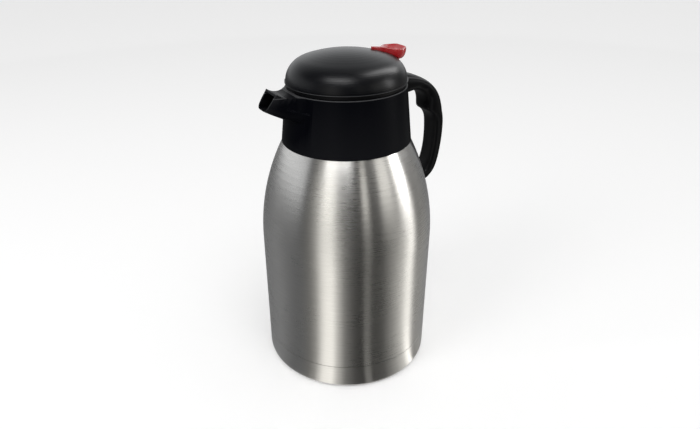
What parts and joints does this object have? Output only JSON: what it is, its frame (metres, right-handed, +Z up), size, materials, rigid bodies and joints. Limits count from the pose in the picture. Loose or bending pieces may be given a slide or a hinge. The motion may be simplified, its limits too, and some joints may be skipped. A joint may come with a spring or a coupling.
{
  "type": "thermal carafe",
  "caption": "Double-walled steel vacuum carafe with a black collar, spout and loop handle, and a domed screw-in pour-through lid whose red thumb lever lifts a spring-closed valve.",
  "frame": {"origin": "middle of the base, on the plane the carafe stands on", "axes": "+Z up along the flask's axis, -X towards the spout, +X towards the handle"},
  "size_m": [0.1589, 0.14, 0.2627],
  "materials": {
    "shell_steel": "fine brushed, ring-wise",
    "cup_steel": "fine brushed, ring-wise",
    "foot_rubber": "matt",
    "seal_metal": "plain",
    "getter_metal": "plain",
    "liner_steel": "drawn",
    "gasket_silicone": "soft",
    "collar_plastic": "satin moulded",
    "handle_plastic": "satin moulded",
    "cover_plastic": "satin moulded",
    "bracket_steel": "plain",
    "screw_steel": "zinc plated",
    "ring_silicone": "soft",
    "stopper_plastic": "satin moulded",
    "dome_plastic": "satin moulded",
    "lid_screw_steel": "zinc plated",
    "pin_steel": "drawn",
    "lever_plastic": "semi-gloss moulded",
    "stem_plastic": "moulded",
    "disc_silicone": "soft",
    "cap_plastic": "moulded",
    "spring_steel": "drawn wire"
  },
  "bodies": {
    "vessel": {"outer_shell": "shell_steel", "base_cup": "cup_steel", "foot_ring": "foot_rubber", "evacuation_seal": "seal_metal", "getter": "getter_metal", "inner_liner": "liner_steel", "neck_gasket": "gasket_silicone", "collar": "collar_plastic", "handle_shell": "handle_plastic", "handle_cover": "cover_plastic", "foot_bracket": "bracket_steel", "handle_screws": "screw_steel"},
    "lid_carrier": {"stopper_ring": "ring_silicone"},
    "lid": {"stopper": "stopper_plastic", "lid_dome": "dome_plastic", "lid_screws": "lid_screw_steel", "lever_pin": "pin_steel", "return_spring": "spring_steel"},
    "lever": {"lever": "lever_plastic"},
    "valve": {"valve_stem": "stem_plastic", "valve_seal": "disc_silicone", "stem_cap": "cap_plastic"}
  },
  "joints": [
    {"name": "lid_lift", "type": "slide", "parent": "vessel", "child": "lid_carrier", "axis": [0, 0, 1], "range_m": [0, 0.06]},
    {"name": "lid_turn", "type": "hinge", "parent": "lid_carrier", "child": "lid", "pos_m": [0, 0, 0.24], "axis": [0, 0, 1], "range_deg": [0, 180]},
    {"name": "lever_press", "type": "hinge", "parent": "lid", "child": "lever", "pos_m": [0.024, 0, 0.253], "axis": [0, 1, 0], "range_deg": [0, 9], "stiffness_Nm_per_rad": 0.35, "springref_deg": -11.46},
    {"name": "valve_lift", "type": "slide", "parent": "lid", "child": "valve", "axis": [0, 0, 1], "range_m": [0, 0.004], "deforming": ["return_spring"]}
  ],
  "couplings": [
    {"joint": "valve_lift", "follows": "lever_press", "m_per_rad": 0.0242}
  ]
}
